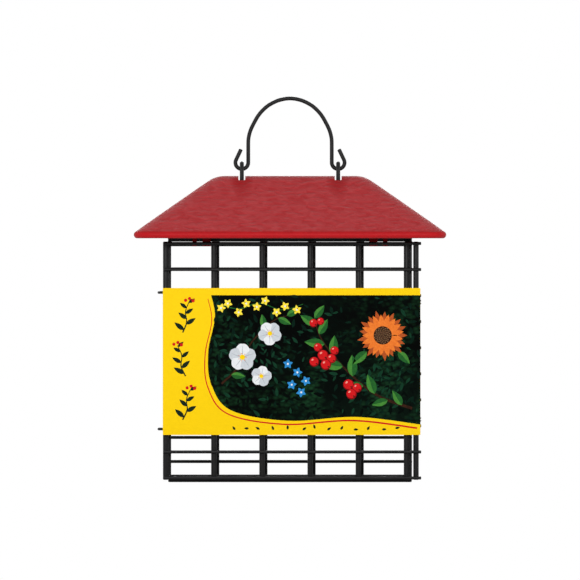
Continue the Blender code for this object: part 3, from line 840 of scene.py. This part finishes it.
def make_board(yellow, paper):
    """The card itself: printed yellow in front, bare board behind and at its edges."""
    bm = bmesh.new()
    bmesh.ops.create_cube(bm, size=1)
    bmesh.ops.scale(bm, vec=(CARD_WIDTH, CARD_SHEET, CARD_HEIGHT), verts=bm.verts)
    corners = [e for e in bm.edges if abs(e.verts[0].co.y - e.verts[1].co.y) > CARD_SHEET / 2]
    bmesh.ops.bevel(bm, geom=corners, offset=CARD_CORNER, segments=5, profile=0.5, affect="EDGES")
    rims = [e for e in bm.edges if len(e.link_faces) == 2 and e.calc_face_angle() > RIM_BEND]
    bmesh.ops.bevel(bm, geom=rims, offset=CARD_RIM, segments=3, profile=0.5, affect="EDGES")
    centre = (CARD_LEFT + CARD_WIDTH / 2, CARD_FRONT + CARD_SHEET / 2, CARD_LOW + CARD_HEIGHT / 2)
    bmesh.ops.translate(bm, vec=centre, verts=bm.verts)
    bm.normal_update()
    for face in bm.faces:
        face.material_index = 0 if face.normal.y < -0.5 else 1
    piece("card_board", bm, [yellow, paper], "door", ["display_card"])


class Print:
    """Flat inked shapes on the card's face, in millimetres from its lower left corner."""

    def __init__(self, inks):
        self.bm = bmesh.new()
        self.inks = inks

    def shape(self, outline, ink, layer):
        """A thin closed film of ink; a higher layer covers a lower one."""
        rings = []
        for y in (CARD_FRONT + FILM_ROOT, CARD_FRONT - FILM * layer):
            places = [(CARD_LEFT + u * MM, y, CARD_LOW + v * MM) for u, v in outline]
            rings.append([self.bm.verts.new(place) for place in places])
        before = len(self.bm.faces)
        bridge(self.bm, rings)
        self.bm.faces.new(rings[0])
        self.bm.faces.new(rings[1])
        self.bm.faces.ensure_lookup_table()
        for face in self.bm.faces[before:]:
            face.material_index = self.inks.index(ink)


def turned(outline, angle, at):
    """An outline turned and moved into place."""
    c, s = math.cos(angle), math.sin(angle)
    return [(at[0] + x * c - y * s, at[1] + x * s + y * c) for x, y in outline]


def beside(at, reach, angle):
    """The point at a distance and an angle from another."""
    return (at[0] + reach * math.cos(angle), at[1] + reach * math.sin(angle))


def heading(line, i):
    """The direction of a line at its point i."""
    (ax, ay), (bx, by) = line[i], line[i + 1]
    return math.atan2(by - ay, bx - ax)


def leaf(length, width, steps=9):
    """A pointed leaf along +X from its stalk, widest a little before its middle."""
    upper = []
    for i in range(steps + 1):
        t = i / steps
        upper.append((length * t, width / 2 * math.sin(math.pi * t**0.8) ** 0.9))
    return upper + [(x, -y) for x, y in reversed(upper[1:-1])]


def disc(radius, steps, flat=1.0):
    """A round outline, flattened along Y by a share."""
    return [(x, y * flat) for x, y in arc((0, 0), radius, 0, math.tau, steps)[:-1]]


def ribbon(line, width_start, width_end):
    """A band along a line, its width changing from one end to the other."""
    sides = ([], [])
    last = len(line) - 1
    for i, (x, y) in enumerate(line):
        ax, ay = line[max(i - 1, 0)]
        bx, by = line[min(i + 1, last)]
        length = math.hypot(bx - ax, by - ay)
        half = (width_start + (width_end - width_start) * i / last) / 2
        dx, dy = -(by - ay) / length * half, (bx - ax) / length * half
        sides[0].append((x + dx, y + dy))
        sides[1].append((x - dx, y - dy))
    return sides[0] + sides[1][::-1]


def inside(point, outline):
    """Whether a point lies within an outline."""
    x, y = point
    crossings = 0
    for (ax, ay), (bx, by) in zip(outline, outline[1:] + outline[:1]):
        if (ay > y) != (by > y) and x < ax + (y - ay) * (bx - ax) / (by - ay):
            crossings += 1
    return crossings % 2 == 1


def brightness(u, v):
    """How lit the foliage is at a point: 1 in the middle of a patch, 0 far from both."""
    return max(
        math.exp(-(((u - mid_u) / reach_u) ** 2 + ((v - mid_v) / reach_v) ** 2))
        for mid_u, reach_u, mid_v, reach_v in LIT_PATCHES
    )


def print_foliage(card, field, rng):
    """Leaves of the dark background, in three films, denser and brighter in two lit patches."""
    unlit_share, crowding = 0.22, 0.86
    for layer, tries, inks in LEAF_FILMS:
        placed = []
        for _ in range(tries):
            u, v = (rng.uniform(*span) for span in LEAF_SPANS)
            lit = brightness(u, v)
            if rng.random() > unlit_share + (1 - unlit_share) * lit:
                continue
            length = rng.uniform(*LEAF_LENGTHS)
            angle = rng.gauss(0.5 + 0.03 * u, 0.8)
            tip = (u + length * math.cos(angle), v + length * math.sin(angle))
            x, y, reach = (u + tip[0]) / 2, (v + tip[1]) / 2, length / 2
            free = all(
                math.hypot(x - px, y - py) > (reach + other) * crowding
                for px, py, other in placed
            )
            if free and inside((u, v), field) and inside(tip, field):
                placed.append((x, y, reach))
                ink = inks[min(int(rng.random() * 2 + lit * 1.4), 2)]
                card.shape(turned(leaf(length, length * 0.36, 6), angle, (u, v)), ink, layer)


def print_leaf(card, at, angle, length):
    """A leaf of two tones with a fine midrib."""
    full = leaf(length, length * 0.46)
    half = full[: len(full) // 2 + 1]
    card.shape(turned(full, angle, at), "leaf", LEAF_LAYER)
    card.shape(turned(half, angle, at), "leaf_light", LEAF_LAYER + 1)
    rib = [(length * 0.04 + length * 0.86 * i / 5, length * 0.012 * math.sin(i)) for i in range(6)]
    card.shape(turned(ribbon(rib, 0.28, 0.10), angle, at), "leaf", LEAF_LAYER + 2)


def print_berries(card, at, berries):
    """A cluster of round berries with a lit side and a dark crown."""
    for k, (du, dv, radius) in enumerate(berries):
        layer = BERRY_LAYER + 4 * k
        for size, steps, flat, turn, shift, ink, above in BERRY_SPOTS:
            centre = (at[0] + du + radius * shift[0], at[1] + dv + radius * shift[1])
            spot = disc(radius * size, steps, flat)
            card.shape(turned(spot, turn, centre), ink, layer + above)


def print_blossom(card, at, size, turn):
    """Five white petals, each with a grey fold, round a small yellow heart."""
    layer = BLOSSOM_LAYER
    for k in range(5):
        angle = turn + math.tau * k / 5
        petal = [(0.0, 0.0)]
        for i in range(15):
            t = math.pi * (i / 14 - 0.5)
            notch = 0.05 * math.exp(-((t / 0.25) ** 2))
            reach = 0.62 + 0.38 * math.cos(t) - notch
            along = size * (0.10 + 0.90 * reach * math.cos(t * 0.55))
            petal.append((along, size * 0.50 * math.sin(t)))
        card.shape(turned(petal, angle, at), "petal" if k % 2 else "petal_shade", layer + k)
        fold = [(size * 0.2, 0), (size * 0.5, size * 0.015), (size * 0.8, 0)]
        band = ribbon(fold, size * 0.05, size * 0.015)
        card.shape(turned(band, angle, at), "petal_fold", layer + k + 1)
    card.shape(turned(disc(size * 0.19, 16), 0, at), "yellow", layer + 7)
    for k in range(7):
        dot = beside(at, size * 0.27, math.tau * k / 7)
        card.shape(turned(disc(size * 0.035, 8), 0, dot), "orange", layer + 7)


def print_star(card, at, size, turn, ink):
    """A small flower of five pointed petals with a pale heart."""
    for k in range(5):
        petal = leaf(size, size * 0.62, 6)
        card.shape(turned(petal, turn + math.tau * k / 5, at), ink, STAR_LAYER + k % 2)
    card.shape(turned(disc(size * 0.2, 10), 0, at), "petal", STAR_LAYER + 2)


def print_sunflower(card, at, size):
    """Two rounds of orange petals about a dark seeded heart."""
    layer, count, start = SUNFLOWER_LAYER, 17, 0.3
    for ring, (reach, ink) in enumerate(((1.0, "orange_dark"), (0.86, "orange"))):
        for k in range(count):
            angle = math.tau * (k + ring / 2) / count
            length = size * (reach - start) * (1 + 0.07 * math.sin(3 * k))
            foot = beside(at, size * start, angle)
            petal = leaf(length, size * 0.23, 7)
            card.shape(turned(petal, angle, foot), ink, layer + 2 * ring + k % 2)
    card.shape(turned(disc(size * 0.37, 30), 0, at), "bark", layer + 5)
    for k in range(60):
        dot = beside(at, size * 0.34 * math.sqrt((k + 0.5) / 60), k * GOLDEN_ANGLE)
        card.shape(turned(disc(size * 0.018, 6), 0, dot), "tan", layer + 6)


def print_sprig(card, at, lean, mirror):
    """A small sprig in dark ink on the yellow ground, with red dots for buds."""
    stem = smooth_line([(mirror * x, y) for x, y in SPRIG_STEM], 6)
    card.shape(turned(ribbon(stem, 0.75, 0.35), lean, at), "ink_dark", GROUND_LAYER + 1)
    for k, i in enumerate(range(2, len(stem), 3)):
        side = 1 if k % 2 else -1
        foot = turned([stem[i]], lean, at)[0]
        angle = lean + math.pi / 2 - side * 0.95
        blade = leaf(6.4 - 0.5 * k, 2.5 - 0.15 * k)
        card.shape(turned(blade, angle, foot), "ink_dark", GROUND_LAYER)
    tip = turned([stem[-1]], lean, at)[0]
    for du, dv in BUDS:
        bud = turned(disc(0.85, 14), 0, (tip[0] + du, tip[1] + dv))
        card.shape(bud, "red", GROUND_LAYER + 2)


def print_branch(card, rng):
    """A branch with leaves and three clusters of berries."""
    branch = smooth_line(BRANCH, 14)
    card.shape(ribbon(branch, 1.5, 0.45), "bark", STEM_LAYER)
    for k, i in enumerate(range(5, len(branch) - 1, 5)):
        side = 1 if k % 2 else -1
        angle = heading(branch, i) + side * rng.uniform(0.6, 0.95)
        print_leaf(card, branch[i], angle, rng.uniform(8.5, 11.5))
    for at, berries in CLUSTERS:
        print_berries(card, at, berries)


def print_flowers(card):
    """White blossoms on a twig, a sunflower, yellow stars on a vine and blue ones."""
    twig = smooth_line(TWIG, 10)
    card.shape(ribbon(twig, 1.1, 0.4), "bark", STEM_LAYER)
    for i, turn in TWIG_LEAVES:
        print_leaf(card, twig[i], heading(twig, i) + turn, TWIG_LEAF)
    for blossom in BLOSSOMS:
        print_blossom(card, *blossom)
    print_sunflower(card, *SUNFLOWER)
    for green in SUNFLOWER_LEAVES:
        print_leaf(card, *green)
    vine = smooth_line(VINE, 8)
    card.shape(ribbon(vine, 0.6, 0.3), "leaf", STEM_LAYER)
    for k in range(9):
        u, v = vine[1 + 3 * k + k // 2]
        print_star(card, (u, v + (1.8 if k % 2 else -1.8)), 2.5, k, "yellow_light")
    for k, at in enumerate(BLUE_STARS):
        print_star(card, at, 2.7, k * 0.7, "blue")


def make_print(inks):
    """A garden print of the maker's own kind: night foliage, berries and blossoms on yellow."""
    rng = random.Random(4)
    card = Print(list(inks))
    edge = smooth_line(FIELD_EDGE, 14)
    field = edge + [(FIELD_RIGHT, FIELD_TOP)]
    card.shape(field, "foliage", GROUND_LAYER)
    line = ribbon([(u - 1.7, v - 1.9) for u, v in edge], 0.35, 0.9)
    card.shape(line, "red", GROUND_LAYER)
    print_foliage(card, field, rng)
    print_branch(card, rng)
    print_flowers(card)
    for sprig in SPRIGS:
        print_sprig(card, *sprig)
    for k in range(13):
        at = (38 + 7 * k + rng.uniform(-1, 1), 3.0 + rng.uniform(-0.6, 0.6))
        blade = turned(leaf(2.5, 1.25, 6), rng.uniform(0, math.pi), at)
        card.shape(blade, "ink_dark", GROUND_LAYER)
    piece("card_print", card.bm, list(inks.values()), "door", sharp=SHARP_PRINT)


def card_inks():
    """The print's inks, each in two near tones."""
    return {
        "yellow": printed("ink_yellow", (0.860, 0.572, 0.0058), (0.835, 0.550, 0.0056)),
        "yellow_light": printed("ink_yellow_light", (0.900, 0.720, 0.060), (0.850, 0.640, 0.040)),
        "foliage": foliage_ink(),
        "deep": printed("ink_deep_green", (0.0005, 0.0026, 0.0016), (0.0002, 0.0012, 0.0008)),
        "dark": printed("ink_dark_green", (0.0020, 0.0145, 0.0080), (0.0011, 0.0078, 0.0044)),
        "mid": printed("ink_mid_green", (0.0060, 0.0400, 0.0190), (0.0038, 0.0260, 0.0125)),
        "leaf": printed("ink_leaf", (0.020, 0.120, 0.022), (0.012, 0.080, 0.018)),
        "leaf_light": printed("ink_leaf_light", (0.060, 0.230, 0.035), (0.040, 0.170, 0.028)),
        "bark": printed("ink_bark", (0.040, 0.014, 0.007), (0.018, 0.007, 0.004)),
        "red": printed("ink_red", (0.580, 0.012, 0.014), (0.500, 0.008, 0.010)),
        "red_dark": printed("ink_red_dark", (0.230, 0.004, 0.006), (0.160, 0.003, 0.005)),
        "blush": printed("ink_blush", (0.800, 0.300, 0.240)),
        "petal": printed("ink_petal", (0.740, 0.760, 0.770), (0.660, 0.690, 0.710)),
        "petal_shade": printed("ink_petal_shade", (0.560, 0.590, 0.620), (0.480, 0.520, 0.560)),
        "petal_fold": printed("ink_petal_fold", (0.300, 0.330, 0.370)),
        "orange": printed("ink_orange", (0.780, 0.200, 0.030), (0.660, 0.140, 0.020)),
        "orange_dark": printed("ink_orange_dark", (0.440, 0.090, 0.020), (0.330, 0.060, 0.014)),
        "tan": printed("ink_tan", (0.420, 0.240, 0.120)),
        "blue": printed("ink_blue", (0.030, 0.260, 0.600), (0.020, 0.190, 0.480)),
        "ink_dark": printed("ink_night", (0.010, 0.022, 0.012), (0.006, 0.014, 0.008)),
    }


def make_floor():
    """A plain pale floor just under the rails, which fades into the white around it."""
    n = Nodes("floor")
    colour = n.mix(n.vary(n.noise(n.place(), 3.0)), (0.80, 0.80, 0.80), (0.84, 0.84, 0.84))
    n.shade({"Base Color": colour, "Roughness": 0.9, "Specular IOR Level": 0.1})
    away = n.add("ShaderNodeVectorMath", {0: n.place()}, operation="LENGTH").outputs["Value"]
    path = n.add("ShaderNodeLightPath").outputs
    seen = n.blend("MAXIMUM", path["Is Camera Ray"], path["Is Glossy Ray"])
    seen = n.blend("MAXIMUM", seen, path["Is Transmission Ray"])
    white = n.add("ShaderNodeEmission", {"Color": (1, 1, 1), "Strength": 1.0}).outputs[0]
    fade = n.blend("MULTIPLY", seen, n.spread(away, *FLOOR_FADE))
    faded = n.add("ShaderNodeMixShader", {0: fade, 1: n.shader.outputs[0], 2: white}).outputs[0]
    n.feed(n.tree.nodes["Material Output"].inputs["Surface"], faded)
    bm = bmesh.new()
    bmesh.ops.create_grid(bm, x_segments=8, y_segments=8, size=FLOOR_HALF)
    bmesh.ops.translate(bm, vec=(0, 0, -FLOOR_DROP), verts=bm.verts)
    mesh = mesh_of("floor", bm)
    floor = linked("floor", mesh)
    mesh.materials.append(n.material)


def make_world():
    """White for the camera and for reflections, a softer fill for everything else."""
    world = bpy.data.worlds.new("studio")
    bpy.context.scene.world = world
    world.use_nodes = True
    nodes, links = world.node_tree.nodes, world.node_tree.links
    path = nodes.new("ShaderNodeLightPath")
    seen = path.outputs["Is Camera Ray"]
    for ray in ("Is Glossy Ray", "Is Transmission Ray"):
        either = nodes.new("ShaderNodeMath")
        either.operation = "MAXIMUM"
        links.new(seen, either.inputs[0])
        links.new(path.outputs[ray], either.inputs[1])
        seen = either.outputs[0]
    strength = nodes.new("ShaderNodeMapRange")
    links.new(seen, strength.inputs["Value"])
    strength.inputs["To Min"].default_value = FILL
    strength.inputs["To Max"].default_value = 1.0
    background = nodes["Background"]
    background.inputs["Color"].default_value = (1, 1, 1, 1)
    links.new(strength.outputs[0], background.inputs["Strength"])


def add_lamp(name, size, location, power):
    light = bpy.data.lights.new(name, "AREA")
    light.shape = "RECTANGLE"
    light.size, light.size_y = size
    light.energy = power
    lamp = linked(name, light)
    lamp.location = location
    lamp.rotation_euler = (Vector(AIM) - Vector(location)).to_track_quat("-Z", "Y").to_euler()


def make_camera():
    """Straight at the front, without perspective, as the photograph is."""
    lens = bpy.data.cameras.new("camera")
    lens.type = "ORTHO"
    lens.ortho_scale = VIEW_WIDTH
    camera = linked("camera", lens)
    camera.location = (0, -1, VIEW_HEIGHT)
    camera.rotation_euler = (math.pi / 2, 0, 0)
    bpy.context.scene.camera = camera


def main():
    black = coated_wire()
    red = red_paint("hammered_red_paint", ROOF_DULL, ROOF_BRIGHT, on_roof=True)
    # A darker copy of the red paint for the clips: painted shade under the roof
    shaded_clip_red = red_paint("clip_shaded_red_paint", CLIP_SHADED_DULL, CLIP_SHADED_BRIGHT)
    inks = card_inks()
    paper = printed("card_paper", PAPER_PALE, PAPER_DULL, scale=500.0, roughness=0.7)

    make_rails(black)
    make_rear_panel(black)
    make_side_panel(-1, "left_side_panel", black)
    make_side_panel(1, "right_side_panel", black)
    make_tray("floor_panel", FLOOR_HEIGHTS, black)
    make_tray("top_panel", TOP_HEIGHTS, black)
    make_door(black)
    make_hinge_rings(black)
    make_latch(black)
    make_eyelets(black)
    make_bail(black)
    make_roof(red)
    dress_clips(shaded_clip_red)
    make_board(inks["yellow"], paper)
    make_print(inks)

    make_floor()
    make_world()
    for lamp in LAMPS:
        add_lamp(*lamp)
    make_camera()
    bpy.context.scene.view_settings.view_transform = "Standard"


main()
